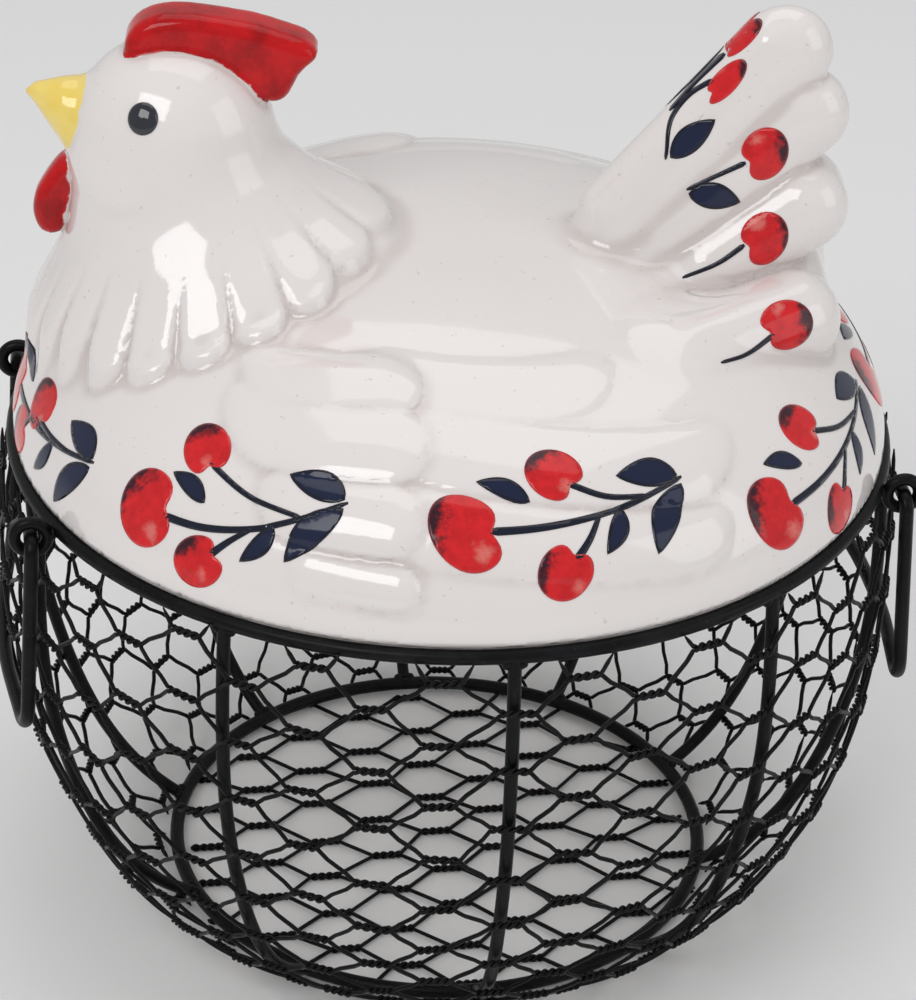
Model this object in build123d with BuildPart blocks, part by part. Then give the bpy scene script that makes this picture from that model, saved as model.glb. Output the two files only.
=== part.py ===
from build123d import *
import math
import os

os.makedirs("parts", exist_ok=True)

# Round wire basket with two drop handles and a lift-off hollow ceramic hen as its lid.
# Millimetres. The origin is on the floor under the basket's centre, +Z is up, the handles
# are on the X axis and the hen looks roughly towards -X.

# ---------- driving dimensions ----------
RIM_R = 108.0                 # rim wire, centreline radius
RIM_Z = 128.5                 # rim wire, centreline height
RIM_WIRE = 3.6                # rim and base ring wire diameter
RIB_WIRE = 3.2
RIB_COUNT = 10
BASE_R = 69.5                 # base ring, centreline radius
NET_THICK = 1.0               # netting as one closed skin
NET_GAP = 0.25                # skin to rib surface
BASE_RING_Z = NET_THICK + RIM_WIRE / 2

HANDLE_WIRE = 3.5
HINGE_X = 105.5               # handle pivots, on a chord just outside the rim
HINGE_Z = RIM_Z - 1.5
EYE_Y = 44.0                  # eyelet to the X axis
EYE_WIRE = 3.0
EYE_HOLE = 4.8
LEG_Y = EYE_Y + 4.0           # handle legs stand outside the eyelets
STUB_Y = EYE_Y - 3.5          # cut ends of the handle wire
HANDLE_DROP = 53.5            # pivot to the handle's bottom run
CORNER_X = 108.3              # bottom corners lean out a little
BOW_X = 112.6                 # middle of the bottom run clears the netting
BOW_Y = 14.0                  # where the bow flattens

LID_TURN = -6.3               # degrees the hen stands turned from the handle line
LID_R = 108.0                 # widest radius of the hen's body
LID_SEAT_R = 107.2            # outer edge of the face that rests on the rim
LID_SEAT_Z = 2.1              # that face above the rim's centreline
LID_WIDE_Z = 3.0              # height of the widest radius, just above the seat
LID_CROWN = 54.0              # height of the back above the rim's centreline
CROWN_POWER = 2.2             # a little squarer in the shoulder than an ellipse
WALL = 4.6
FLANGE_OUT_R = 104.8
FLANGE_IN_R = 100.8
FLANGE_DROP = 3.5             # locating flange reaches this far below the rim's centreline
COMB_THICK = 13.0
WATTLE_X = -95.5              # the wattle hangs from the throat: centre, radius and length
WATTLE_Z = 62.0
WATTLE_R = 5.5
WATTLE_H = 25.0
TAIL_THICK = 18.0
TAIL_TAPER = 17               # degrees, each face of the tail fan
BEAK_ROOT = (-86.0, 84.0)     # along the lid, above the rim
BEAK_LENGTH = 16.0
BEAK_RISE = 4.0               # the tip is this much above the root's middle
COMB_TAPER = 12               # degrees

# Centreline of one rib from rim to base ring: (radius, height).
BOWL = [
    (RIM_R, RIM_Z),
    (109.0, 112.0),
    (109.2, 96.0),
    (107.6, 74.0),
    (104.4, 58.0),
    (98.4, 39.0),
    (88.0, 19.0),
    (BASE_R + 1.2, BASE_RING_Z + 0.7),
]

# Neck and head as level ellipses: (centre x, half length, half width, height above the rim).
NECK = [
    (-52.0, 54.0, 56.0, 22.0),
    (-50.0, 51.0, 46.0, 40.0),
    (-53.0, 43.0, 37.0, 54.0),
    (-61.0, 33.0, 28.0, 65.0),
    (-66.0, 27.0, 23.5, 75.0),
    (-67.5, 23.5, 21.0, 85.0),
    (-68.0, 18.5, 16.5, 94.0),
    (-68.5, 9.0, 8.0, 101.0),
]

# Foot of the tail fan, where it spreads onto the back, as level ellipses like the neck's.
TAIL_FOOT = [
    (62.0, 32.0, 28.0, 24.0),
    (66.0, 28.0, 25.0, 40.0),
    (69.0, 24.0, 17.0, 52.0),
    (72.0, 19.0, 11.0, 66.0),
    (74.0, 14.0, 8.5, 76.0),
]


def bowl_offset(gap):
    """Points of the bowl's profile moved outwards, square to the curve, by gap."""
    moved = []
    for i, (r, z) in enumerate(BOWL):
        r0, z0 = BOWL[max(i - 1, 0)]
        r1, z1 = BOWL[min(i + 1, len(BOWL) - 1)]
        run = math.hypot(r1 - r0, z1 - z0)
        moved.append((r + gap * (z0 - z1) / run, z + gap * (r1 - r0) / run))
    return moved


def radial_plane(azimuth):
    """Upright plane through the Z axis: local X points outwards, local Y points up."""
    a = math.radians(azimuth)
    return Plane(origin=(0, 0, 0), x_dir=(math.cos(a), math.sin(a), 0), z_dir=(math.sin(a), -math.cos(a), 0))


def crown(r, radius, height):
    """Height of the hen's back at radius r."""
    return height * math.sqrt(max(0.0, 1 - (r / radius) ** CROWN_POWER))


# ---------- wire frame ----------
with BuildPart() as rim_ring:
    with BuildSketch(Plane.XZ):
        with Locations((RIM_R, RIM_Z)):
            Circle(RIM_WIRE / 2)
    revolve(axis=Axis.Z)
rim_ring.part.label = "rim_ring"
export_step(rim_ring.part, "parts/rim_ring.step")

with BuildPart() as base_ring:
    with BuildSketch(Plane.XZ):
        with Locations((BASE_R, BASE_RING_Z)):
            Circle(RIM_WIRE / 2)
    revolve(axis=Axis.Z)
base_ring.part.label = "base_ring"
export_step(base_ring.part, "parts/base_ring.step")

# Ten ribs, each one wire bent to the bowl's profile and welded to both rings.
for i in range(RIB_COUNT):
    name = f"rib_{i + 1:02d}"
    plane = radial_plane(-90 + i * 360 / RIB_COUNT)
    with BuildPart() as rib:
        with BuildLine(plane) as rib_path:
            Spline(*BOWL)
        with BuildSketch(Plane(origin=rib_path.line @ 0, z_dir=rib_path.line % 0)):
            Circle(RIB_WIRE / 2)
        sweep()
    rib.part.label = name
    export_step(rib.part, f"parts/{name}.step")

# ---------- netting ----------
net_inner = bowl_offset(RIB_WIRE / 2 + NET_GAP)
net_outer = bowl_offset(RIB_WIRE / 2 + NET_GAP + NET_THICK)
net_foot_r = net_outer[-1][0]

with BuildPart() as side_netting:
    with BuildSketch(Plane.XZ):
        with BuildLine():
            inside = Spline(*net_inner)
            outside = Spline(*net_outer)
            Line(inside @ 0, outside @ 0)
            Line(inside @ 1, outside @ 1)
        make_face()
    revolve(axis=Axis.Z)
side_netting.part.label = "side_netting"
export_step(side_netting.part, "parts/side_netting.step")

with BuildPart() as base_netting:
    with BuildSketch():
        Circle(net_foot_r)
    extrude(amount=NET_THICK)
base_netting.part.label = "base_netting"
export_step(base_netting.part, "parts/base_netting.step")

# ---------- handles ----------
eye_r = (EYE_HOLE + EYE_WIRE) / 2
for side, side_name in ((-1, "left"), (1, "right")):
    for end, end_name in ((-1, "front"), (1, "rear")):
        name = f"{side_name}_{end_name}_eyelet"
        centre = (side * HINGE_X, end * EYE_Y, HINGE_Z)
        with BuildPart(Plane(origin=centre, x_dir=(1, 0, 0), z_dir=(0, 1, 0))) as eyelet:
            Torus(eye_r, EYE_WIRE / 2)
        eyelet.part.label = name
        export_step(eyelet.part, f"parts/{name}.step")

    # The bail: cut end, eyelet, leg, bowed bottom run, leg, eyelet, cut end.
    low = HINGE_Z - HANDLE_DROP
    front_half = [
        (side * HINGE_X, -STUB_Y, HINGE_Z),
        (side * HINGE_X, -LEG_Y, HINGE_Z),
        (side * CORNER_X, -LEG_Y, low),
        (side * BOW_X, -BOW_Y, low),
    ]
    rear_half = [(x, -y, z) for x, y, z in reversed(front_half)]
    name = f"{side_name}_handle"
    with BuildPart() as handle:
        with BuildLine() as bail_path:
            FilletPolyline(*front_half, *rear_half, radius=[3.2, 9.0, 150.0, 150.0, 9.0, 3.2])
        with BuildSketch(Plane(origin=bail_path.line @ 0, z_dir=bail_path.line % 0)):
            Circle(HANDLE_WIRE / 2)
        sweep()
    handle.part.label = name
    export_step(handle.part, f"parts/{name}.step")

# ---------- hen lid ----------
turn = math.radians(LID_TURN)
tailward = (math.cos(turn), math.sin(turn), 0)
nearside = (math.sin(turn), -math.cos(turn), 0)
lid_base = Plane(origin=(0, 0, RIM_Z), x_dir=tailward, z_dir=(0, 0, 1))
lid_side = Plane(origin=(0, 0, RIM_Z), x_dir=tailward, z_dir=nearside)      # local Y is up

crown_steps = [1.0, 0.985, 0.95, 0.88, 0.75, 0.55, 0.3, 0.0]
outer_r, outer_h = LID_R, LID_CROWN - LID_WIDE_Z
inner_r, inner_h = LID_R - WALL, LID_CROWN - LID_WIDE_Z - WALL
outer_crown = [(s * outer_r, LID_WIDE_Z + crown(s * outer_r, outer_r, outer_h)) for s in crown_steps]
inner_crown = [(s * inner_r, LID_WIDE_Z + crown(s * inner_r, inner_r, inner_h)) for s in crown_steps]

with BuildPart() as hen_lid:
    # body, with the seat that rests on the rim and the flange that drops inside it
    with BuildSketch(lid_side):
        with BuildLine():
            Polyline(
                (0, -FLANGE_DROP),
                (FLANGE_OUT_R, -FLANGE_DROP),
                (FLANGE_OUT_R, LID_SEAT_Z),
                (LID_SEAT_R, LID_SEAT_Z),
            )
            ThreePointArc(
                (LID_SEAT_R, LID_SEAT_Z),
                (LID_R - 0.5, (LID_SEAT_Z + LID_WIDE_Z) / 2),
                outer_crown[0],
            )
            Spline(*outer_crown, tangents=[(0, 1), (-1, 0)])
            Line(outer_crown[-1], (0, -FLANGE_DROP))
        make_face()
    revolve(axis=Axis((0, 0, 0), (0, 0, 1)))

    # neck and head
    for x, a, b, h in NECK:
        with BuildSketch(lid_base.offset(h)):
            with Locations((x, 0)):
                Ellipse(a, b)
    loft()

    # beak
    beak_origin = lid_side.from_local_coords(BEAK_ROOT)
    beak_root = Plane(origin=beak_origin, x_dir=lid_side.z_dir, z_dir=-lid_base.x_dir)
    with BuildSketch(beak_root):
        Ellipse(8.0, 9.5)
    with BuildSketch(beak_root.offset(BEAK_LENGTH)):
        with Locations((0, BEAK_RISE)):
            Ellipse(1.2, 1.6)
    loft()

    # comb, a long low ridge whose rear end hangs over the back of the head
    with BuildSketch(lid_side):
        with BuildLine():
            ThreePointArc((-79, 95), (-76.5, 106), (-66, 110.5))
            ThreePointArc((-66, 110.5), (-49, 108.2), (-36, 101))
            ThreePointArc((-36, 101), (-38, 93), (-45, 87))
            Line((-45, 87), (-79, 95))
        make_face()
    extrude(amount=COMB_THICK / 2, both=True, taper=COMB_TAPER)

    # wattle
    with BuildSketch(lid_side):
        with BuildLine():
            Line((WATTLE_X, WATTLE_Z - WATTLE_H / 2), (WATTLE_X, WATTLE_Z + WATTLE_H / 2))
            ThreePointArc(
                (WATTLE_X, WATTLE_Z + WATTLE_H / 2),
                (WATTLE_X - WATTLE_R, WATTLE_Z),
                (WATTLE_X, WATTLE_Z - WATTLE_H / 2),
            )
        make_face()
    revolve(axis=Axis(lid_side.from_local_coords((WATTLE_X, 0, 0)), (0, 0, 1)))

    # tail fan with four rounded lobes
    with BuildSketch(lid_side):
        with BuildLine():
            Line((33, 44), (66, 104))
            ThreePointArc((66, 104), (83, 112), (88, 95))
            ThreePointArc((88, 95), (93.5, 82), (91, 70))
            ThreePointArc((91, 70), (94.5, 57), (91.5, 43))
            ThreePointArc((91.5, 43), (95, 32), (90, 12))
            Line((90, 12), (33, 44))
        make_face()
    extrude(amount=TAIL_THICK / 2, both=True, taper=TAIL_TAPER)

    for x, a, b, h in TAIL_FOOT:
        with BuildSketch(lid_base.offset(h)):
            with Locations((x, 0)):
                Ellipse(a, b)
    loft()

    # hollow inside of the body
    with BuildSketch(lid_side):
        with BuildLine():
            Line((0, -FLANGE_DROP), (FLANGE_IN_R, -FLANGE_DROP))
            Line((FLANGE_IN_R, -FLANGE_DROP), (FLANGE_IN_R, LID_SEAT_Z))
            Line((FLANGE_IN_R, LID_SEAT_Z), inner_crown[0])
            Spline(*inner_crown, tangents=[(0, 1), (-1, 0)])
            Line(inner_crown[-1], (0, -FLANGE_DROP))
        make_face()
    revolve(axis=Axis((0, 0, 0), (0, 0, 1)), mode=Mode.SUBTRACT)

    # hollow inside of the neck and head
    for x, a, b, h in NECK[:-1]:
        with BuildSketch(lid_base.offset(h - WALL / 2)):
            with Locations((x, 0)):
                Ellipse(a - WALL, b - WALL)
    loft(mode=Mode.SUBTRACT)
hen_lid.part.label = "hen_lid"
export_step(hen_lid.part, "parts/hen_lid.step")
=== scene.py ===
"""Looks for the round wire egg basket and its ceramic hen lid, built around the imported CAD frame.

Geometry is worked out in millimetres. The basket frame has +Z up from the floor; the lid frame has its
origin at the centre of the rim wire, x towards the hen's tail, y towards its right flank and z up.
"""
import math

import bpy
import numpy as np
from mathutils import Matrix, Vector
from mathutils.bvhtree import BVHTree
from mathutils.geometry import delaunay_2d_cdt


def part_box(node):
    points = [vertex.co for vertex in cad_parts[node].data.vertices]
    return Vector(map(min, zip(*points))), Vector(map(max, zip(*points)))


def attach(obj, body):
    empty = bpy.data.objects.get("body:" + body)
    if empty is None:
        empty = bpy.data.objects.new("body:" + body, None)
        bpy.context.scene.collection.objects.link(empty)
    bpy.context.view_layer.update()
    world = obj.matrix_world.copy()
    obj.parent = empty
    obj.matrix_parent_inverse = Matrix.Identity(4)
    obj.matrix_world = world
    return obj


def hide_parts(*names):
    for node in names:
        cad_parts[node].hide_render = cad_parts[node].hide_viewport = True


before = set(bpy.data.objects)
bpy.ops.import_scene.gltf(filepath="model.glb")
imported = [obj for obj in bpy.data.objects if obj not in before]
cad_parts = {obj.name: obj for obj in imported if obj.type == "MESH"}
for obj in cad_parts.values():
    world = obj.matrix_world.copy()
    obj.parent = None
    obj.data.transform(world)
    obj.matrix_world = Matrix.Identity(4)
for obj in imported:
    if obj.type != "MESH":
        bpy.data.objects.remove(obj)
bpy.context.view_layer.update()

MM = 0.001

# ---------- sizes taken from the frame, in millimetres ----------
rim_low, rim_high = (np.array(c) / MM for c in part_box("rim_ring"))
base_low, base_high = (np.array(c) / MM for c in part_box("base_ring"))
RIM_WIRE = rim_high[2] - rim_low[2]
RIM_Z = (rim_high[2] + rim_low[2]) / 2
RIM_R = rim_high[0] - RIM_WIRE / 2
BASE_R = base_high[0] - RIM_WIRE / 2
BASE_Z = (base_high[2] + base_low[2]) / 2
RIB_COUNT = sum(name.startswith("rib_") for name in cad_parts)

# ---------- the ceramic hen, lid frame ----------
LID_TURN = math.radians(-6.3)
BODY_R = 108.0
BODY_WIDE_Z = 3.0
BODY_RISE = 51.0
CROWN_POWER = 2.2
SEAT_R = 107.2
SEAT_Z = 2.1
WALL = 4.6
FLANGE_OUT_R = 104.8
FLANGE_IN_R = 100.8
FLANGE_LOW = -3.5
FLANGE_HIGH = 8.0
HOLLOW_LOW = 7.0
HOLE_TOP = 12.0               # the round hole below and the neck's hollow above meet at this height
NECK_TUCK = 1.2               # the smooth neck lies this far inside its ellipses, under the feathers
VOXEL = 1.25
HEN_LOW = (-111.5, -112.0, FLANGE_LOW - 2.0)
HEN_HIGH = (112.0, 112.0, 116.0)
INSIDE_DEPTH = 2.0            # this far under the outer surface is wholly inside
INSIDE_SHARE = 0.2            # from this share of it on, nothing is painted
UNPAINTED = 20.0
COLOUR_REACH = 0.35           # red and yellow reach this far past the comb, wattle and beak
GROOVE_FULL = 0.28            # depth of a groove that gets the full painted shade

# ---------- the netting ----------
NET_WIRE_R = 0.55
NET_SIDES = 6
NET_COLUMNS = 44
NET_PITCH = 16.0
TWIST_LENGTH = 8.0
TWIST_TURNS = 2
TWIST_POINTS = 9 * TWIST_TURNS
NET_TOP = 5.5
NET_WAVE = 1.3                # where the slow waves round the netting start, in radians
SLACK_LEAST = 0.35
SLACK = (1.7, 74.0, 26.0)     # most slack, its way down the bowl and how far it spreads
WAVES = (0.5, 80.0, 30.0)     # the same for the slow waves
NET_PARTS = 3                 # pieces that the side netting is made in, from the rim down
PART_ROWS = 6
RIB_R = 1.6
NET_OFF = RIB_R + NET_WIRE_R + 0.35
TIE_OFF = 0.2
BASE_NET_Z = NET_WIRE_R * 2 + 0.04

# Centreline of a rib from rim to base ring: (radius, height).
BOWL = [
    (RIM_R, RIM_Z),
    (109.0, 112.0),
    (109.2, 96.0),
    (107.6, 74.0),
    (104.4, 58.0),
    (98.4, 39.0),
    (88.0, 19.0),
    (BASE_R + 1.2, BASE_Z + 0.7),
]


# ---------- small tools ----------
def to_world(points):
    """Lid-frame millimetres to Blender metres in the row frame."""
    p = np.asarray(points, float)
    c, s = math.cos(LID_TURN), math.sin(LID_TURN)
    x = c * p[..., 0] - s * p[..., 1]
    y = s * p[..., 0] + c * p[..., 1]
    return np.stack([x, y, p[..., 2] + RIM_Z], -1) * MM


def smoothstep(low, high, value):
    """0 up to low, 1 from high on, and a smooth rise between."""
    t = np.clip((value - low) / (high - low), 0, 1)
    return t * t * (3 - 2 * t)


def curve_at(x, xs, ys):
    """Smooth curve through (xs, ys), cubic between the points."""
    xs, ys = np.asarray(xs, float), np.asarray(ys, float)
    slope = np.gradient(ys, xs)
    x = np.clip(x, xs[0], xs[-1])
    i = np.clip(np.searchsorted(xs, x, side="right") - 1, 0, len(xs) - 2)
    h = xs[i + 1] - xs[i]
    t = (x - xs[i]) / h
    a = (1 + 2 * t) * (1 - t) ** 2 * ys[i] + t * (1 - t) ** 2 * h * slope[i]
    b = t * t * (3 - 2 * t) * ys[i + 1] + t * t * (t - 1) * h * slope[i + 1]
    return a + b


def run_along(points):
    """Length from the first point to each of them."""
    return np.r_[0, np.cumsum(np.linalg.norm(np.diff(points, axis=0), axis=1))]


def directions(path):
    """Unit vectors along a path."""
    along = np.gradient(path, axis=0)
    return along / np.linalg.norm(along, axis=1)[:, None]


def through(points, count):
    """count points on a smooth line through a few given ones."""
    points = np.asarray(points, float)
    run = run_along(points)
    t = np.linspace(0, run[-1], count)
    return np.stack([curve_at(t, run, points[:, k]) for k in range(points.shape[1])], -1)


def mesh_object(name, points, faces, material, body=None, smooth=True):
    """A mesh piece from points in metres, riding on a body."""
    mesh = bpy.data.meshes.new(name)
    mesh.from_pydata([tuple(p) for p in np.asarray(points, float)], [], [tuple(map(int, f)) for f in faces])
    mesh.validate()
    mesh.update()
    if smooth:
        mesh.shade_smooth()
    if material is not None:
        mesh.materials.append(material)
    piece = bpy.data.objects.new(name, mesh)
    bpy.context.scene.collection.objects.link(piece)
    if body:
        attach(piece, body)
    return piece


def point_values(piece, name, values):
    """Stores one number per vertex for the material to read."""
    layer = piece.data.attributes.new(name, "FLOAT", "POINT")
    layer.data.foreach_set("value", np.asarray(values, np.float32))


def ring_faces(spans, sides):
    """Quads between rings of points that follow one another."""
    faces = []
    for i in range(0, spans * sides, sides):
        for k in range(sides):
            n = (k + 1) % sides
            faces.append((i + k, i + n, i + sides + n, i + sides + k))
    return faces


def tube(path, radius, sides):
    """Points and faces of a round wire along a path, narrowed at its cut ends."""
    path = np.asarray(path, float)
    count = len(path)
    tangent = directions(path)
    side = np.cross(tangent[0], (0.0, 0.0, 1.0))
    if np.linalg.norm(side) < 0.1:
        side = np.cross(tangent[0], (1.0, 0.0, 0.0))
    side /= np.linalg.norm(side)
    normal = np.zeros_like(path)
    for i in range(count):
        side = side - tangent[i] * (side @ tangent[i])
        side /= np.linalg.norm(side)
        normal[i] = side
    other = np.cross(tangent, normal)
    width = np.full(count, float(radius))
    width[[0, -1]] *= 0.35
    turn = np.arange(sides) * 2 * math.pi / sides
    ring = np.cos(turn)[None, :, None] * normal[:, None] + np.sin(turn)[None, :, None] * other[:, None]
    points = path[:, None] + ring * width[:, None, None]
    faces = ring_faces(count - 1, sides)
    faces.append(tuple(range(sides - 1, -1, -1)))
    faces.append(tuple((count - 1) * sides + k for k in range(sides)))
    return points.reshape(-1, 3), faces


def join_parts(parts):
    """Several (points, faces) as one."""
    points, faces, start = [], [], 0
    for p, f in parts:
        points.append(p)
        faces.extend([tuple(i + start for i in face) for face in f])
        start += len(p)
    return np.concatenate(points), faces


# ---------- materials ----------
class Nodes:
    """A short way to write a node material."""

    def __init__(self, name):
        self.material = bpy.data.materials.new(name)
        self.material.use_nodes = True
        self.tree = self.material.node_tree
        self.shader = self.tree.nodes["Principled BSDF"]

    def add(self, kind, **settings):
        node = self.tree.nodes.new(kind)
        for key, value in settings.items():
            setattr(node, key, value)
        return node

    def put(self, socket, value):
        if isinstance(value, bpy.types.NodeSocket):
            self.tree.links.new(value, socket)
        else:
            socket.default_value = value

    def fill(self, node, **values):
        """Puts values on a node's inputs, whose names are given with _ for a space."""
        for key, value in values.items():
            self.put(node.inputs[key.replace("_", " ")], value)
        return node

    def set(self, **values):
        """Puts values on the shader."""
        self.fill(self.shader, **values)
        return self.material

    def math(self, operation, a, b, clamp=False):
        node = self.add("ShaderNodeMath", operation=operation, use_clamp=clamp)
        self.put(node.inputs[0], a)
        self.put(node.inputs[1], b)
        return node.outputs[0]

    def value(self, name):
        return self.add("ShaderNodeAttribute", attribute_name=name).outputs["Fac"]

    def noise(self, scale, detail=3.0, roughness=0.5):
        place = self.add("ShaderNodeTexCoord").outputs["Object"]
        node = self.add("ShaderNodeTexNoise")
        self.fill(node, Vector=place, Scale=scale, Detail=detail, Roughness=roughness)
        return node.outputs["Fac"]

    def ruffle(self, value, noise, amount):
        """A value moved up and down by a noise."""
        return self.math("ADD", value, self.math("MULTIPLY", self.math("SUBTRACT", noise, 0.5), amount))

    def band(self, value, low, high, out_low=0.0, out_high=1.0):
        node = self.add("ShaderNodeMapRange", interpolation_type="SMOOTHSTEP")
        self.fill(node, Value=value, From_Min=low, From_Max=high, To_Min=out_low, To_Max=out_high)
        return node.outputs["Result"]

    def mix(self, share, a, b):
        node = self.add("ShaderNodeMix", data_type="RGBA")
        return self.fill(node, Factor=share, A=a, B=b).outputs["Result"]

    def bump(self, height, strength, distance, normal=None):
        node = self.add("ShaderNodeBump")
        self.fill(node, Strength=strength, Distance=distance, Height=height)
        if normal is not None:
            self.put(node.inputs["Normal"], normal)
        return node.outputs["Normal"]


def black_paint(name, grain):
    """Satin black coating on steel wire: orange-peel skin, dusty patches and pale specks."""
    n = Nodes(name)
    skin = n.noise(grain, detail=4.0, roughness=0.6)
    patches = n.noise(90.0)
    colour = n.mix(n.band(patches, 0.4, 0.75), (0.003, 0.0031, 0.0036, 1), (0.009, 0.0093, 0.011, 1))
    specks = n.band(n.noise(1500.0, detail=2.0), 0.66, 0.74)
    colour = n.mix(n.math("MULTIPLY", specks, 0.5), colour, (0.05, 0.05, 0.052, 1))
    rough = n.band(patches, 0.3, 0.75, 0.30, 0.50)
    n.set(IOR=1.52, Specular_IOR_Level=0.12, Coat_Weight=0.04, Coat_Roughness=0.22)
    return n.set(Base_Color=colour, Roughness=rough, Normal=n.bump(skin, 0.35, 0.00025))


GLAZE_WHITE = (0.86, 0.815, 0.80, 1.0)
# painted shade: the glaze colour used deep in the grooves, where shade falls
GLAZE_GROOVE_SHADE = (0.72, 0.655, 0.635, 1.0)
RED = (0.60, 0.005, 0.008, 1.0)
DEEP_RED = (0.34, 0.002, 0.004, 1.0)
YELLOW = (0.95, 0.70, 0.13, 1.0)
PALE_YELLOW = (0.96, 0.76, 0.22, 1.0)


def glaze_finish(n, coat=0.7):
    """Glassy surface of a fired glaze."""
    n.set(IOR=1.5, Specular_IOR_Level=coat * 0.7, Coat_Weight=coat, Coat_Roughness=0.03, Coat_IOR=1.5)


def hen_glaze():
    """Warm white glaze with painted shade darkening the grooves, and the painted comb, wattle and beak."""
    n = Nodes("hen_glaze")
    clouds = n.math("MULTIPLY", n.noise(28.0, detail=4.0), 0.30)
    # painted shade: the glaze's tone is darkened in the grooves
    tone_and_shade = n.math("ADD", clouds, n.math("MULTIPLY", n.value("groove_shade"), 0.9), clamp=True)
    white = n.mix(n.band(tone_and_shade, 0.08, 0.75), GLAZE_WHITE, GLAZE_GROOVE_SHADE)
    freckles = n.band(n.noise(620.0, detail=1.0), 0.735, 0.78)
    white = n.mix(n.math("MULTIPLY", freckles, 0.30), white, (0.45, 0.33, 0.25, 1))
    brush = n.noise(120.0, detail=5.0, roughness=0.65)
    red = n.mix(n.band(brush, 0.35, 0.70), RED, DEEP_RED)
    beak = n.mix(n.band(brush, 0.30, 0.75), YELLOW, PALE_YELLOW)
    wobble = n.noise(160.0, detail=2.0)
    on_red = n.band(n.ruffle(n.value("red_edge"), wobble, 0.8), 0.12, -0.12)
    on_yellow = n.band(n.ruffle(n.value("yellow_edge"), wobble, 0.8), 0.12, -0.12)
    colour = n.mix(on_yellow, white, beak)
    colour = n.mix(on_red, colour, red)
    colour = n.mix(n.math("MULTIPLY", n.value("inside"), 0.8), colour, (0.78, 0.74, 0.70, 1))
    rough = n.band(n.noise(55.0, detail=2.0), 0.3, 0.7, 0.07, 0.13)
    waves = n.bump(n.noise(42.0, detail=2.0, roughness=0.4), 0.35, 0.0011)
    normal = n.bump(n.noise(420.0, detail=2.0), 0.06, 0.0003, waves)
    glaze_finish(n)
    n.set(Specular_IOR_Level=n.band(on_red, 0.0, 1.0, 0.5, 0.2))
    n.set(Coat_Weight=n.band(on_red, 0.0, 1.0, 0.7, 0.2))
    n.set(Subsurface_Weight=0.06, Subsurface_Radius=(0.004, 0.0025, 0.0018), Subsurface_Scale=0.5)
    return n.set(Base_Color=colour, Roughness=rough, Normal=normal)


def painted(n, colour):
    """Paint fired on the glaze: the same waves, with less shine."""
    glaze_finish(n, 0.35)
    return n.set(Base_Color=colour, Roughness=0.1, Normal=n.bump(n.noise(42.0, 2.0), 0.3, 0.001))


def cherry_paint():
    """Brushed red with a dark side, a painted pale pink highlight and a thin paler rim."""
    n = Nodes("cherry_paint")
    streaks = n.noise(260.0, detail=4.0, roughness=0.7)
    dark = n.ruffle(n.value("shade"), streaks, 1.5)
    # painted highlight: a pale pink spot mixed into the red
    pale = n.ruffle(n.value("painted_glint"), streaks, 1.3)
    body = n.mix(n.band(streaks, 0.3, 0.7), (0.74, 0.013, 0.018, 1), (0.56, 0.007, 0.012, 1))
    body = n.mix(n.band(pale, 0.45, 0.95, 0.0, 0.75), body, (0.78, 0.22, 0.19, 1))
    body = n.mix(n.band(dark, 0.35, 0.85), body, (0.035, 0.004, 0.012, 1))
    body = n.mix(n.band(n.value("edge"), 0.55, 0.0, 0.0, 0.35), body, (0.66, 0.09, 0.09, 1))
    return painted(n, body)


def leaf_paint():
    """Navy brush strokes: blue in the middle, nearly black along the outline."""
    n = Nodes("leaf_paint")
    edge = n.ruffle(n.value("edge"), n.noise(300.0, detail=4.0, roughness=0.7), 0.9)
    colour = n.mix(n.band(edge, 0.25, 1.1), (0.002, 0.0035, 0.014, 1), (0.005, 0.011, 0.045, 1))
    # painted highlight: pale blue where the highlight value is high
    colour = n.mix(n.band(n.value("painted_glint"), 0.55, 1.0, 0.0, 0.35), colour, (0.16, 0.22, 0.36, 1))
    return painted(n, colour)


def eye_paint():
    """Black glaze, very faintly mottled."""
    n = Nodes("eye_paint")
    glaze_finish(n)
    colour = n.mix(n.noise(400.0, detail=3.0), (0.004, 0.005, 0.009, 1), (0.012, 0.015, 0.03, 1))
    return n.set(Base_Color=colour, Roughness=0.06, Normal=n.bump(n.noise(300.0, 2.0), 0.08, 0.0003))


# ---------- the hen as a field of distances, lid frame, millimetres ----------
# Neck and head as level ellipses: (height, centre x, half length, half width).
NECK = np.array([
    (10.0, -52.0, 55.0, 58.0),
    (22.0, -52.0, 53.0, 55.0),
    (40.0, -50.5, 49.5, 45.5),
    (54.0, -53.5, 41.5, 36.5),
    (65.0, -61.0, 32.5, 28.0),
    (75.0, -66.0, 26.4, 23.0),
    (83.0, -67.5, 20.5, 18.0),
])
HEAD = (-67.5, 0.0, 78.0)
HEAD_RADII = (24.3, 21.8, 24.3)

COMB_THICK = 6.3
COMB_ROUND = 3.2
COMB = through([
    (-78.5, 97.5), (-78.3, 102.5), (-75.5, 106.8), (-70.5, 109.2), (-64, 109.6), (-56, 108.6), (-48, 107.2),
    (-41, 105.0), (-35.6, 102.8), (-33.2, 100.2), (-37.2, 95.4), (-42.0, 88.0), (-48.0, 88.5), (-58, 93),
    (-72, 94), (-78.5, 97.5),
], 48)[:-1]

# Beak as upright ellipses: (x, centre height, half height).
BEAK = np.array([
    (-102.2, 88.1, 0.3),
    (-99.9, 87.7, 2.9),
    (-97.2, 85.7, 5.5),
    (-93.0, 82.8, 9.4),
    (-84.0, 80.9, 12.2),
    (-78.0, 80.4, 12.8),
])

WATTLE_THICK = 4.6
WATTLE_ROUND = 3.4
WATTLE = through([
    (-88, 75), (-94.5, 71.5), (-98, 67), (-100.8, 61.5), (-101.2, 56.5), (-99.4, 52.6), (-96.4, 51.6),
    (-93.5, 55), (-92.4, 60), (-88, 64), (-88, 75),
], 40)[:-1]

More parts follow.
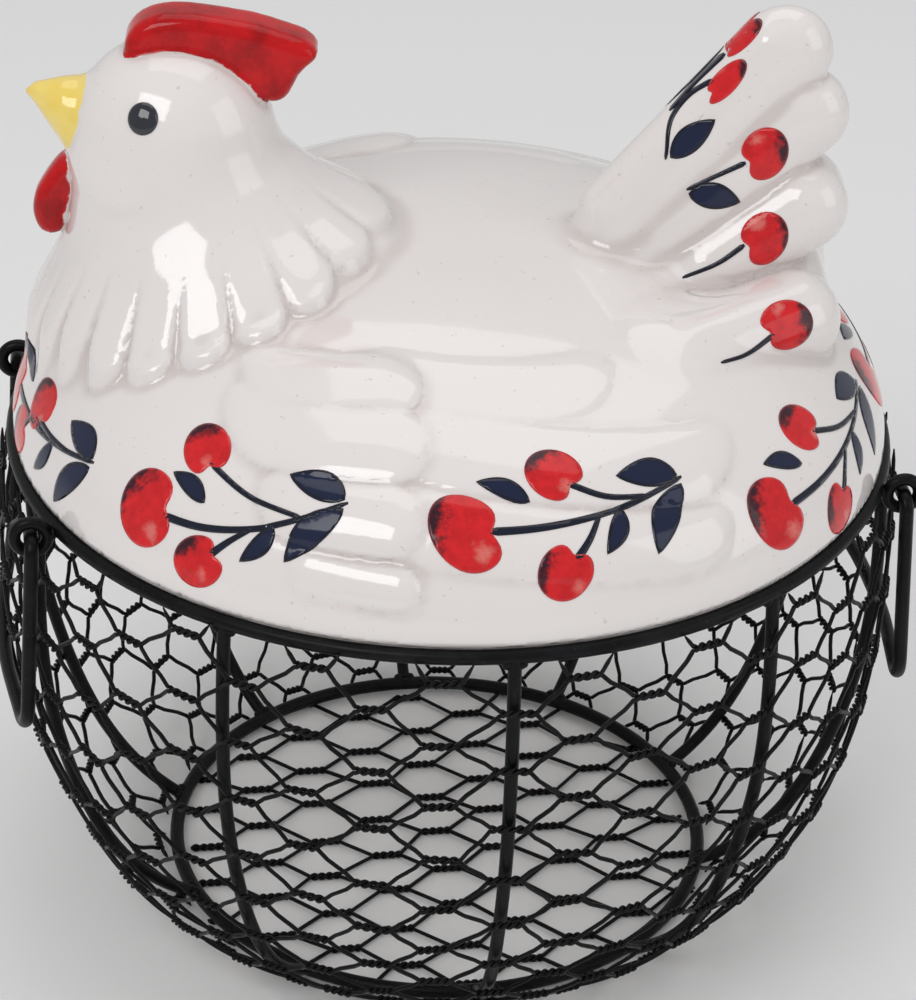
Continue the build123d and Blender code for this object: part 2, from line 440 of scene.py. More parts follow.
# Tail feathers, each a flattened tapering finger that stands wider at the foot of the fan:
# (root x, root z, root radius, tip x, tip z, tip radius, half width of its flat middle, flattening).
TAIL_FEATHERS = [
    (41.0, 57.0, 11.5, 77.0, 100.5, 11.3, 0.0, 1.42),
    (47.0, 50.0, 11.0, 82.3, 85.0, 11.0, 1.0, 1.35),
    (55.0, 42.0, 11.0, 83.5, 62.0, 11.0, 4.0, 1.2),
    (60.0, 35.0, 9.0, 82.0, 39.0, 9.6, 9.0, 1.1),
]
# The lowest feather on each side lies on the shoulder: root, tip (x, way from the middle, z) and radius.
FOOT_FEATHER = ((50.0, 36.0, 35.0), (81.0, 16.5, 38.0), 12.0)
TAIL_STRIP = (40.0, 66.0, 4.0, 72.0, 104.6, 4.6)

COLLAR_AXIS = (-62.0, 0.0)
COLLAR_FEATHERS = 20
COLLAR_WIDEN = 1.25           # over 1 makes the feathers wider towards the tail
COLLAR_STEP = 2.9
COLLAR_GROOVE = 0.9
COLLAR_LENGTH = 19.0
COLLAR_SCALLOP = 4.2          # how far a feather's tip reaches past the grooves beside it
COLLAR_FADE = (6.0, 34.0)     # heights above the collar's edge between which it melts into the neck
# The collar's edge: (degrees from the tail's direction, reach from the axis, height).
COLLAR_EDGE = np.array([
    (0, 46.8, 53.5),
    (13, 46.3, 53.3),
    (35, 46.2, 52.0),
    (54, 47.8, 49.0),
    (84, 48.6, 41.0),
    (110, 47.8, 32.0),
    (130, 44.6, 27.0),
    (150, 43.2, 22.0),
    (180, 42.5, 19.0),
])

# Feathers on each flank. The arc is measured up the side of the body from its widest line.
# Coverts overlap the flight feathers and end in a step: (front x, front arc, tip x, tip arc, radius).
COVERTS = [
    (-42.0, 57.0, -18.0, 63.0, 9.4),
    (-44.0, 45.0, -18.0, 47.5, 11.5),
    (-38.0, 28.0, -17.5, 28.5, 9.0),
    (-34.0, 13.5, -15.0, 12.8, 5.4),
]
COVERT_LIFT = 3.1
COVERT_FULL = 9.0             # narrower coverts stand out less
# Flight feathers: (front x, front arc, front radius, rear x, rear arc, rear radius, height).
FLIGHT_FEATHERS = [
    (-14.0, 64.0, 11.0, 26.0, 62.0, 9.0, 0.7),
    (-10.0, 48.0, 11.0, 54.0, 34.0, 8.5, 1.3),
    (-12.0, 28.0, 9.5, 55.0, 16.5, 7.0, 1.3),
]


def soft_union(a, b, blend):
    """Two solids joined with a fillet."""
    h = np.clip(0.5 + 0.5 * (b - a) / blend, 0, 1)
    return b * (1 - h) + a * h - blend * h * (1 - h)


def body_radius_low(z):
    """Radius of the body between the seat and its widest line."""
    return BODY_R - (BODY_R - SEAT_R) * ((BODY_WIDE_Z - z) / (BODY_WIDE_Z - SEAT_Z)) ** 2


def dome(r, z, radius, rise):
    """Distance to the square-shouldered dome."""
    up = np.maximum(z - BODY_WIDE_Z, 0.0)
    f = (r / radius) ** CROWN_POWER + (up / rise) ** 2 - 1
    slope_r = CROWN_POWER * r ** (CROWN_POWER - 1) / radius ** CROWN_POWER
    slope = np.sqrt(slope_r ** 2 + (2 * up / rise ** 2) ** 2)
    return f / np.maximum(slope, 0.012)


def neck_core(x, y, z, shrink):
    """Distance to the smooth neck, made thinner all round by shrink."""
    cx = curve_at(z, NECK[:, 0], NECK[:, 1])
    a = curve_at(z, NECK[:, 0], NECK[:, 2]) - shrink
    b = curve_at(z, NECK[:, 0], NECK[:, 3]) - shrink
    k = np.sqrt(((x - cx) / a) ** 2 + (y / b) ** 2) + 1e-6
    slope = np.sqrt(((x - cx) / a ** 2) ** 2 + (y / b ** 2) ** 2) / k
    side = (k - 1) / np.maximum(slope, 1e-4)
    return np.maximum(side, z - NECK[-1, 0])


def ellipsoid(x, y, z, centre, radii):
    """Distance to an ellipsoid, exact at its surface."""
    dx, dy, dz = x - centre[0], y - centre[1], z - centre[2]
    k0 = np.sqrt((dx / radii[0]) ** 2 + (dy / radii[1]) ** 2 + (dz / radii[2]) ** 2) + 1e-6
    k1 = np.sqrt((dx / radii[0] ** 2) ** 2 + (dy / radii[1] ** 2) ** 2 + (dz / radii[2] ** 2) ** 2) + 1e-6
    return k0 * (k0 - 1) / k1


def outline_distance(x, z, outline):
    """Signed distance to a closed outline, negative inside."""
    best = np.full(x.shape, 1e9)
    sign = np.ones(x.shape)
    count = len(outline)
    for i in range(count):
        ax, az = outline[i]
        bx, bz = outline[(i + 1) % count]
        ex, ez = bx - ax, bz - az
        wx, wz = x - ax, z - az
        t = np.clip((wx * ex + wz * ez) / (ex * ex + ez * ez), 0, 1)
        best = np.minimum(best, (wx - ex * t) ** 2 + (wz - ez * t) ** 2)
        crosses = (az > z) != (bz > z)
        at = ax + (z - az) * ex / (ez if abs(ez) > 1e-9 else 1e-9)
        sign = np.where(crosses & (x < at), -sign, sign)
    return sign * np.sqrt(best)


def slab(flat, side, rounding):
    """A plate with rounded edges, from the distances to its outline and through its thickness."""
    u, v = flat + rounding, side + rounding
    outside = np.sqrt(np.maximum(u, 0) ** 2 + np.maximum(v, 0) ** 2)
    return outside + np.minimum(np.maximum(u, v), 0) - rounding


def finger(x, z, x0, z0, r0, x1, z1, r1):
    """Distance to a line in a plane, and the radius and the share of the way at the nearest place on it."""
    ex, ez = x1 - x0, z1 - z0
    t = np.clip(((x - x0) * ex + (z - z0) * ez) / (ex * ex + ez * ez), 0, 1)
    return np.hypot(x - x0 - ex * t, z - z0 - ez * t), r0 + (r1 - r0) * t, t


def only_in(x_range, half_width, z_range):
    """Marks a distance that is worked out only inside a box; elsewhere it stays far."""
    def wrap(distance):
        def boxed(x, y, z):
            inside = (x > x_range[0]) & (x < x_range[1]) & (np.abs(y) < half_width)
            inside &= (z > z_range[0]) & (z < z_range[1])
            result = np.full(x.shape, 30.0)
            result[inside] = distance(x[inside], y[inside], z[inside])
            return result
        return boxed
    return wrap


@only_in((-92, -24), 16, (78, 122))
def comb_distance(x, y, z):
    return slab(outline_distance(x, z, COMB), np.abs(y) - COMB_THICK, COMB_ROUND)


@only_in((-112, -76), 20, (66, 104))
def beak_distance(x, y, z):
    middle = np.interp(x, BEAK[:, 0], BEAK[:, 1])
    half = np.interp(x, BEAK[:, 0], BEAK[:, 2])
    k = np.sqrt(((z - middle) / (0.93 * half)) ** 2 + (y / (0.8 * half)) ** 2)
    return np.maximum((k - 1) * 0.8 * half, BEAK[0, 0] - x)


@only_in((-110, -80), 16, (42, 82))
def wattle_distance(x, y, z):
    return slab(outline_distance(x, z, WATTLE), np.abs(y) - WATTLE_THICK, WATTLE_ROUND)


@only_in((20, 112), 60, (4, 125))
def tail_distance(x, y, z):
    whole = None
    for *row, middle, flattening in TAIL_FEATHERS:
        flat, radius, share = finger(x, z, *row)
        side = np.maximum(np.abs(y) - middle, 0) * (flattening - 0.22 * (1 - share))
        d = (np.sqrt(flat ** 2 + side ** 2) - radius) / 1.15
        whole = d if whole is None else soft_union(whole, d, 1.0)
    root, tip, radius = FOOT_FEATHER
    ex, ey, ez = (b - a for a, b in zip(root, tip))
    dx, dy, dz = x - root[0], np.abs(y) - root[1], z - root[2]
    t = np.clip((dx * ex + dy * ey + dz * ez) / (ex * ex + ey * ey + ez * ez), 0, 1)
    foot = np.sqrt((dx - ex * t) ** 2 + (dy - ey * t) ** 2 + (dz - ez * t) ** 2) - radius
    whole = soft_union(whole, foot, 1.0)
    flat, radius, _ = finger(x, z, *TAIL_STRIP)
    strip = (np.sqrt(flat ** 2 + (y * 0.62) ** 2) - radius) / 1.1
    return soft_union(whole, strip, 1.2)


def collar_lift(x, y, z):
    """How far the neck feathers stand out from the smooth neck."""
    dx, dy = x - COLLAR_AXIS[0], y - COLLAR_AXIS[1]
    rho = np.hypot(dx, dy)
    angle = np.abs(np.arctan2(dy, dx))
    turn = (angle / math.pi) ** COLLAR_WIDEN * COLLAR_FEATHERS / 2 + 0.5
    across = np.abs(turn - np.floor(turn) - 0.5) * 2
    reach = curve_at(np.degrees(angle), COLLAR_EDGE[:, 0], COLLAR_EDGE[:, 1])
    edge = reach - COLLAR_SCALLOP * across ** 2.2
    inward = edge - rho
    tip = smoothstep(-0.5, 1.4, inward)
    fade = 1 - smoothstep(0.0, COLLAR_LENGTH, inward)
    pillow = 0.35 + 0.65 * np.sqrt(np.clip(1 - across ** 2.6, 0, 1))
    groove = np.exp(-((1 - across) / 0.17) ** 2) * (1 - smoothstep(2.0, COLLAR_LENGTH + 6, inward))
    lift = tip * (COLLAR_STEP * fade * pillow + 0.5 * (1 - fade)) - COLLAR_GROOVE * tip * groove
    low = smoothstep(8.0, 14.0, z)
    above = z - curve_at(np.degrees(angle), COLLAR_EDGE[:, 0], COLLAR_EDGE[:, 2])
    high = 1 - smoothstep(*COLLAR_FADE, above)
    return lift * low * high


def wing_lift(x, y, arc):
    """How far the wing stands out of each flank."""
    flank = smoothstep(38.0, 50.0, np.abs(y))
    lift = np.zeros(x.shape)
    for *row, height in FLIGHT_FEATHERS:
        flat, radius, _ = finger(x, arc, *row)
        inside = np.clip(1 - (flat / radius) ** 2, 0, 1)
        lift = np.maximum(lift, height * inside ** 0.5)
    for x0, m0, x1, m1, size in COVERTS:
        flat, radius, _ = finger(x, arc, x0, m0, size * 0.9, x1, m1, size)
        inside = np.clip(1 - (flat / radius) ** 2, 0, 1)
        rise = 0.5 + 0.5 * smoothstep(x0 - 4, x1 + 2, x)
        lift = np.maximum(lift, COVERT_LIFT * min(size / COVERT_FULL, 1) * rise * inside ** 0.45)
    return lift * flank


def arc_tables():
    """Arc length up the body's side from its widest line to the crown, with radius, height and angle."""
    t = np.linspace(0, math.pi / 2, 400)
    r = BODY_R * np.cos(t) ** (2 / CROWN_POWER)
    z = BODY_WIDE_Z + BODY_RISE * np.sin(t)
    run = np.r_[0, np.cumsum(np.hypot(np.diff(r), np.diff(z)))]
    return run, r, z, t


ARC, ARC_R, ARC_Z, ARC_ANGLE = arc_tables()


def outer(x, y, z):
    """Outside of the hen with all its relief."""
    r = np.hypot(x, y)
    below = r - body_radius_low(np.maximum(z, SEAT_Z))
    body = np.where(z > BODY_WIDE_Z, dome(r, z, BODY_R, BODY_RISE), below)
    angle = np.arctan2(np.maximum(z - BODY_WIDE_Z, 0) / BODY_RISE, (r / BODY_R) ** (CROWN_POWER / 2))
    body = body - wing_lift(x, y, np.interp(angle, ARC_ANGLE, ARC))
    neck = soft_union(neck_core(x, y, z, NECK_TUCK), ellipsoid(x, y, z, HEAD, HEAD_RADII), 5.0)
    whole = soft_union(body, neck, 2.2) - collar_lift(x, y, z)
    tail_blend = 7.0 - 5.0 * smoothstep(52.0, 76.0, x)
    whole = soft_union(whole, tail_distance(x, y, z), tail_blend)
    whole = np.maximum(whole, SEAT_Z - z)
    whole = soft_union(whole, comb_distance(x, y, z), 1.0)
    whole = soft_union(whole, beak_distance(x, y, z), 1.6)
    return soft_union(whole, wattle_distance(x, y, z), 1.0)


def cavity(x, y, z):
    """The hollow inside of the lid."""
    r = np.hypot(x, y)
    inner = np.maximum(dome(r, z, BODY_R - WALL, BODY_RISE - WALL), HOLLOW_LOW - z)
    neck = np.maximum(neck_core(x, y, z + WALL / 2, WALL + NECK_TUCK), HOLE_TOP - z)
    hole = np.maximum(r - FLANGE_IN_R, z - HOLE_TOP)
    return np.minimum(soft_union(inner, neck, 6.0), hole)


def hen(x, y, z):
    """Distance to the lid's whole surface."""
    r = np.hypot(x, y)
    flange = np.maximum(np.maximum(r - FLANGE_OUT_R, FLANGE_LOW - z), z - FLANGE_HIGH)
    solid = np.minimum(outer(x, y, z), flange)
    return np.maximum(solid, -cavity(x, y, z))


CORNERS = [(i, j, k) for i in (0, 1) for j in (0, 1) for k in (0, 1)]
EDGES = [(a, b) for a in CORNERS for b in CORNERS
         if sum(b) == sum(a) + 1 and all(q >= p for p, q in zip(a, b))]


def sampled(field, axes, slab_size=8):
    """A field's values on a grid, worked out a few layers at a time."""
    values = np.empty([len(a) for a in axes], np.float32)
    yy, zz = np.meshgrid(axes[1], axes[2], indexing="ij")
    for i in range(0, len(values), slab_size):
        xs = axes[0][i:i + slab_size]
        xx = np.broadcast_to(xs[:, None, None], (len(xs),) + yy.shape)
        y3 = np.broadcast_to(yy, xx.shape)
        z3 = np.broadcast_to(zz, xx.shape)
        values[i:i + slab_size] = field(xx.ravel(), y3.ravel(), z3.ravel()).reshape(xx.shape)
    return values


def cell_points(values, cells):
    """Mean of the places where the surface cuts each cell's edges, counted in cells."""
    total = np.zeros((len(cells), 3))
    hits = np.zeros(len(cells))
    for a, b in EDGES:
        va = values[tuple((cells + a).T)]
        vb = values[tuple((cells + b).T)]
        crosses = (va < 0) != (vb < 0)
        t = np.where(crosses, va / np.where(crosses, va - vb, 1), 0)
        place = np.array(a) + t[:, None] * (np.array(b) - np.array(a))
        total += np.where(crosses[:, None], place, 0)
        hits += crosses
    return cells + total / hits[:, None]


def cell_quads(inside, index):
    """A face between four cells' points round each grid edge that the surface cuts."""
    faces = []
    for axis in range(3):
        o1, o2 = [k for k in range(3) if k != axis]
        a = [slice(1, -1)] * 3
        a[axis] = slice(0, -1)
        b = list(a)
        b[axis] = slice(1, None)
        first, second = inside[tuple(a)], inside[tuple(b)]
        crossing = np.argwhere(first != second)
        starts = first[tuple(crossing.T)]
        crossing[:, [o1, o2]] += 1
        quad = []
        for d1, d2 in ((0, 0), (1, 0), (1, 1), (0, 1)):
            c = crossing.copy()
            c[:, o1] -= d1
            c[:, o2] -= d2
            quad.append(index[tuple(c.T)])
        quad = np.stack(quad, -1)
        flip = starts if axis != 1 else ~starts
        quad[~flip] = quad[~flip][:, ::-1]
        faces.append(quad)
    return np.concatenate(faces)


def surface_net(field, low, high, cell):
    """Quads of a field's zero surface on a regular grid, one vertex in each cell that it crosses."""
    axes = [np.arange(a, b + cell, cell) for a, b in zip(low, high)]
    values = sampled(field, axes)
    inside = values < 0
    cut = tuple(s - 1 for s in values.shape)
    count = np.zeros(cut, np.int8)
    for i, j, k in CORNERS:
        count += inside[i:i + cut[0], j:j + cut[1], k:k + cut[2]]
    crossed = (count > 0) & (count < 8)
    index = np.full(cut, -1, np.int64)
    index[crossed] = np.arange(crossed.sum())
    points = cell_points(values, np.argwhere(crossed)) * cell + np.array([a[0] for a in axes])
    return points, cell_quads(inside, index)


def gradient(field, p, step=0.25):
    """How fast the field grows along each axis."""
    g = np.zeros_like(p)
    for k in range(3):
        d = np.zeros(3)
        d[k] = step
        g[:, k] = (field(*(p + d).T) - field(*(p - d).T)) / (2 * step)
    return g


def settle(field, points, rounds=2, limit=0.5):
    """Moves points onto the field's zero surface."""
    for _ in range(rounds):
        g = gradient(field, points)
        size = np.maximum((g ** 2).sum(1), 0.15)
        step = -(field(*points.T) / size)[:, None] * g
        length = np.linalg.norm(step, axis=1)
        points = points + step * np.minimum(1, limit / np.maximum(length, 1e-9))[:, None]
    return points


def build_hen():
    points, faces = surface_net(hen, HEN_LOW, HEN_HIGH, VOXEL)
    points = settle(hen, points)
    x, y, z = points.T
    piece = mesh_object("hen_body", to_world(points), faces, hen_glaze(), "lid")
    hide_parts("hen_lid")
    within = np.clip(-outer(x, y, z) / INSIDE_DEPTH, 0, 1)
    inner = within > INSIDE_SHARE
    unpainted = UNPAINTED * inner
    red = np.minimum(comb_distance(x, y, z), wattle_distance(x, y, z))
    point_values(piece, "red_edge", red - COLOUR_REACH + unpainted)
    point_values(piece, "yellow_edge", beak_distance(x, y, z) - COLOUR_REACH + unpainted)
    point_values(piece, "inside", within)
    # painted shade: how deep in a groove each outer vertex lies, for the glaze to darken
    point_values(piece, "groove_shade", np.where(inner, 0.0, hollow_of(points, faces)))
    return points, faces


def hollow_of(points, faces, rounds=4):
    """Share from 0 to 1 by how much a vertex lies in a groove."""
    count = len(points)
    pairs = np.concatenate([faces[:, [0, 1]], faces[:, [1, 2]], faces[:, [2, 3]], faces[:, [3, 0]]])
    one, two = pairs.T
    normal = np.zeros((count, 3))
    across = np.cross(points[faces[:, 2]] - points[faces[:, 0]], points[faces[:, 3]] - points[faces[:, 1]])
    for k in range(4):
        for c in range(3):
            normal[:, c] += np.bincount(faces[:, k], across[:, c], count)
    normal /= np.maximum(np.linalg.norm(normal, axis=1), 1e-9)[:, None]
    neighbours = np.bincount(one, minlength=count) + np.bincount(two, minlength=count)

    def mean(values):
        total = np.bincount(one, values[two], count) + np.bincount(two, values[one], count)
        return total / np.maximum(neighbours, 1)

    smooth = points.copy()
    for _ in range(rounds):
        smooth = np.stack([mean(smooth[:, c]) for c in range(3)], -1)
    lift = ((smooth - points) * normal).sum(1)
    for _ in range(2):
        lift = mean(lift)
    return np.clip(lift / GROOVE_FULL, 0, 1)


# ---------- painted decoration, laid on the glaze ----------
PAINT_ABOVE = 0.15
PAINT_BELOW = 0.30
PAINT_CELL = 0.75
NOTCH = 0.36                  # depth and width of the dent in a cherry, in radii and radians
CHERRY_POINTS = 44
LEAF_POINTS = 18
CHART_ABOVE = 9.0             # charts of the body look down from this height
TAIL_AWAY = 90.0              # charts of the tail look from this far away
TAIL_DEPTH = 40.0
TAIL_TILT = math.radians(29.5)


class Canvas:
    """Turns flat drawing coordinates into places on the hen."""

    def __init__(self, tree, place):
        self.tree = tree
        self.place = place

    def drape(self, flat):
        found = []
        for p, q in flat:
            start, way, depth = self.place(p, q)
            start, way = Vector(start), Vector(way)
            hit, normal, _, _ = self.tree.ray_cast(start, way, depth * 1.6)
            if hit is None:
                hit, normal, _, _ = self.tree.find_nearest(start + way * depth)
            found.append((hit, normal))
        return found


def flank_place(azimuth):
    """Chart of the body's side: p runs round from an azimuth, q up from the widest line."""
    def place(p, q):
        r = np.interp(q, ARC, ARC_R)
        z = np.interp(q, ARC, ARC_Z) if q > 0 else BODY_WIDE_Z + q
        r = r if q > 0 else BODY_R
        ahead, back = np.interp([q + 1, q - 1], ARC, ARC_R)
        rise = max(np.interp(q + 1, ARC, ARC_Z) - np.interp(q - 1, ARC, ARC_Z), 1e-3)
        out = np.array([rise, back - ahead])
        out = out / np.linalg.norm(out)
        a = math.radians(azimuth) + p / r
        normal = np.array([out[0] * math.cos(a), out[0] * math.sin(a), out[1]])
        start = np.array([r * math.cos(a), r * math.sin(a), z]) + normal * CHART_ABOVE
        return start, -normal, CHART_ABOVE
    return place


def tail_place(side):
    """Chart of the tail seen from one side and a little above: p is x and q is up that view."""
    toward = np.array([0.0, side * math.cos(TAIL_TILT), math.sin(TAIL_TILT)])
    up = np.array([0.0, -side * math.sin(TAIL_TILT), math.cos(TAIL_TILT)])

    def place(p, q):
        return np.array([p, 0.0, 0.0]) + up * q + toward * TAIL_AWAY, -toward, TAIL_DEPTH
    return place


def cherry_outline(centre, radius, notch_at, stretch, lean):
    """A heart-shaped cherry with a deep dent where its stem goes in."""
    t = np.linspace(0, 2 * math.pi, CHERRY_POINTS, endpoint=False)
    off = np.angle(np.exp(1j * (t - notch_at)))
    r = radius * (1 - NOTCH * np.exp(-(off / NOTCH) ** 2) + 0.05 * np.cos(2 * off))
    x, y = r * np.cos(t) * stretch, r * np.sin(t) / stretch
    c, s = math.cos(lean), math.sin(lean)
    return np.stack([centre[0] + c * x - s * y, centre[1] + s * x + c * y], -1)


def leaf_outline(root, tip, width, bow):
    """A pointed leaf from root to tip, bowed a little to one side."""
    root, tip = np.array(root, float), np.array(tip, float)
    along = tip - root
    length = np.linalg.norm(along)
    along = along / length
    side = np.array([-along[1], along[0]])
    t = np.linspace(0, 1, LEAF_POINTS)
    half = width / 2 * np.sin(math.pi * t ** 0.86) ** 0.8
    spine = root + np.outer(t * length, along) + np.outer(np.sin(math.pi * t) * bow * length, side)
    left = spine + half[:, None] * side
    right = spine - half[:, None] * side
    return np.concatenate([left, right[-2:0:-1]])


def stem_outline(points, start_width, end_width):
    """A brush line of changing width through a few points."""
    line = through(points, 6 * len(points))
    along = directions(line)
    side = np.stack([-along[:, 1], along[:, 0]], -1)
    half = np.linspace(start_width, end_width, len(line)) / 2
    half[0] *= 0.5
    half[-1] *= 0.45
    return np.concatenate([line + side * half[:, None], (line - side * half[:, None])[::-1]])


def filled(outline):
    """Triangles that fill an outline, with points inside it on a grid."""
    low, high = outline.min(0), outline.max(0)
    grid = np.array([(a, b) for a in np.arange(low[0], high[0], PAINT_CELL)
                     for b in np.arange(low[1], high[1], PAINT_CELL)])
    depth = -outline_distance(grid[:, 0], grid[:, 1], outline)
    grid = grid[depth > PAINT_CELL * 0.45]
    points = [Vector(p) for p in np.concatenate([outline, grid])]
    made = delaunay_2d_cdt(points, [], [list(range(len(outline)))], 1, 1e-4)
    return np.array([tuple(v) for v in made[0]]), [tuple(f) for f in made[2]]


class Paint:
    """Collects painted shapes of one colour into a single thin layer of glaze paint."""

    def __init__(self, name):
        self.name = name
        self.points, self.faces = [], []
        self.values = {"edge": [], "shade": [], "painted_glint": []}

    def shape(self, canvas, outline, shade_at=None, painted_glint_at=None):
        """Lays one filled outline on the hen; shade_at places a cherry's dark side and the last argument its
        painted highlight.
        """
        flat, faces = filled(outline)
        places = canvas.drape(flat)
        top = np.array([tuple(h + n * PAINT_ABOVE) for h, n in places])
        under = np.array([tuple(h - n * PAINT_BELOW) for h, n in places])
        a, b, c = (top[i] for i in faces[0])
        if np.dot(np.cross(b - a, c - a), np.array(places[faces[0][0]][1])) < 0:
            faces = [f[::-1] for f in faces]
        self.add_layer(top, under, faces)
        centre = outline.mean(0)
        local = (flat - centre) / np.linalg.norm(outline - centre, axis=1).max()
        shade = painted_glint = np.zeros(len(flat))
        if shade_at is not None:
            shade = (local @ np.array(shade_at) - 0.1) / 0.75
            # painted highlight, strongest at the given spot
            painted_glint = 1 - np.linalg.norm(local - painted_glint_at, axis=1) / 0.62
        depth = np.maximum(-outline_distance(flat[:, 0], flat[:, 1], outline), 0)
        for name, row in (("edge", depth), ("shade", shade), ("painted_glint", painted_glint)):
            self.values[name].extend([*row, *row])

    def add_layer(self, top, under, faces):
        """A closed skin: faces on top, the same turned over below, and quads round the rim."""
        start, count = len(self.points), len(top)
        self.points.extend([*top, *under])
        seen = set()
        for f in faces:
            self.faces.append(tuple(i + start for i in f))
            self.faces.append(tuple(i + start + count for i in f[::-1]))
            for a, b in zip(f, f[1:] + f[:1]):
                seen.add((a, b))
        for a, b in seen:
            if (b, a) not in seen:
                self.faces.append((a + start, a + start + count, b + start + count, b + start))

    def finish(self, material):
        piece = mesh_object(self.name, to_world(self.points), self.faces, material, "lid")
        for name, row in self.values.items():
            point_values(piece, name, row)


def sprig(canvas, red, navy, rng, big, upper, lower, tip):
    """One painted twig growing to the left: three cherries on branching stems and four leaves."""
    start = (big[0] + 5.0, big[1])

    def stem(t):
        return start[0] + (tip[0] - start[0]) * t, start[1] + (tip[1] - start[1]) * t * t

    def off(point, dp, dq):
        return point[0] + dp, point[1] + dq

    def sway(amount=1.0):
        return rng.uniform(-amount, amount)

    bend = (upper[0] * 0.5 + stem(0.8)[0] * 0.5, upper[1] * 0.42 + stem(0.8)[1] * 0.58 - 1.6)
    navy.shape(canvas, stem_outline([stem(t) for t in (0, 0.25, 0.5, 0.75, 1)], 1.9, 1.2))
    navy.shape(canvas, stem_outline([off(upper, 2.6, -2.6), bend, stem(0.8)], 1.5, 1.1))
    navy.shape(canvas, stem_outline([off(lower, 2.8, 2.6), off(lower, 6.4, 6.6), stem(0.54)], 1.9, 1.1))
    bud = off(big, 15.2 + sway(0.6), 6.2 + sway(0.6))
    navy.shape(canvas, leaf_outline(bud, off(bud, -11.2, 4.6 + sway()), 4.8, -0.08))
    navy.shape(canvas, leaf_outline(stem(0.66), off(stem(0.66), -4.9 + sway(), -9.8), 4.8, 0.08))
    high, low = off(tip, -1.0, 0.6), off(tip, -0.4, -1.4)
    navy.shape(canvas, leaf_outline(high, off(high, -15.2, 3.8 + sway()), 6.8, -0.06))
    navy.shape(canvas, leaf_outline(low, off(low, -9.6 + sway(), -13.8), 7.4, -0.07))
    for centre, radius, notch_at, stretch, lean, dark_at in (
            (big, 8.7, 0.0, 0.92, 0.1, 2.6),
            (upper, 6.4, -0.75, 1.03, 0.1, 2.1),
            (lower, 6.4, 0.85, 1.03, -0.1, 2.7)):
        outline = cherry_outline(centre, radius, notch_at + sway(0.2), stretch, lean + sway(0.15))
        dark_at += sway(0.4)
        # place of each cherry's painted highlight
        pale = np.array((0.35, -0.45)) + rng.uniform(-0.15, 0.15, 2)
        red.shape(canvas, outline, (math.cos(dark_at), math.sin(dark_at)), pale)


SPRIG_SEED = 7
# Twigs round the body, in chart places: (azimuth, big cherry, upper cherry, lower cherry, tip of the stem).
SPRIGS = [
    (-77.0, (-21.5, 26.0), (0.4, 38.4), (-0.7, 16.0), (30.7, 31.7)),
    (-122.0, (-21.2, 16.4), (-11.8, 34.4), (-3.8, 9.6), (27.0, 30.2)),
    (-32.0, (-23.9, 15.4), (-1.2, 28.7), (-0.9, 6.8), (34.9, 22.6)),
    (-161.0, (-29.6, 11.9), (-4.3, 17.7), (-12.0, 6.8), (27.2, 18.4)),
    (13.0, (-33.0, 16.5), (-12.0, 28.5), (-11.5, 8.0), (20.0, 25.0)),
    (58.0, (-22.5, 20.0), (-3.0, 32.0), (-2.0, 9.6), (29.5, 27.0)),
    (103.0, (-21.5, 24.5), (-1.0, 37.0), (-1.4, 14.6), (30.0, 31.0)),
    (153.0, (-24.0, 13.5), (-5.0, 23.0), (-3.5, 7.0), (27.0, 21.0)),
]

# Tail cherries, one on each feather, in the tail's chart:
# centre, half length, half width, degrees of its length, stem points, leaf (root, tip).
TAIL_CHERRIES = [
    ((66.3, 90.0), 5.6, 2.2, 48, [(62.4, 86.6), (55.8, 80.0), (50.2, 73.6)], None),
    ((62.5, 79.8), 6.1, 2.9, 51, [(59.8, 80.4), (54.8, 77.4), (50.8, 72.2), (49.3, 62.0)],
     ((50.4, 62.4), (60.5, 71.2))),
    ((72.6, 63.5), 6.2, 5.5, 90, [(68.3, 61.4), (60.7, 57.9), (54.7, 55.1)], ((55.2, 54.2), (67.7, 52.4))),
    ((73.5, 43.8), 6.4, 5.6, 90, [(68.9, 42.2), (63.4, 38.2), (54.2, 34.2)], None),
    ((78.0, 23.0), 6.6, 6.1, 0, [(74.9, 20.6), (67.7, 15.7), (61.3, 13.7)], None),
]
TAIL_NOTCH = math.radians(208)
TAIL_SHADE = (0.95, 0.2)      # the tail cherries are dark on this side


def paint_hen(points, faces):
    tree = BVHTree.FromPolygons([tuple(p) for p in points], [tuple(map(int, f)) for f in faces])
    red, navy = Paint("cherry_paint"), Paint("leaf_paint")
    rng = np.random.default_rng(SPRIG_SEED)
    for azimuth, *places in SPRIGS:
        sprig(Canvas(tree, flank_place(azimuth)), red, navy, rng, *places)
    for side in (-1, 1):
        canvas = Canvas(tree, tail_place(side))
        for centre, half_length, half_width, degrees, stem, leaf in TAIL_CHERRIES:
            navy.shape(canvas, stem_outline(stem, 1.3, 0.8))
            if leaf:
                navy.shape(canvas, leaf_outline(*leaf, 6.2, 0.03))
            radius, stretch = math.sqrt(half_length * half_width), math.sqrt(half_length / half_width)
            lean = math.radians(degrees)
            outline = cherry_outline(centre, radius, TAIL_NOTCH - lean, stretch, lean)
            # the last pair places the painted highlight
            red.shape(canvas, outline, TAIL_SHADE, (-0.3, 0.5))
    red.finish(cherry_paint())
    navy.finish(leaf_paint())
    return tree


EYE_AT = (-73.7, 89.6)        # x and z on the head
EYE_R = 3.7
EYE_PROUD = 1.5
EYE_SUNK = 0.25
EYE_RINGS = 8
EYE_SIDES = 28


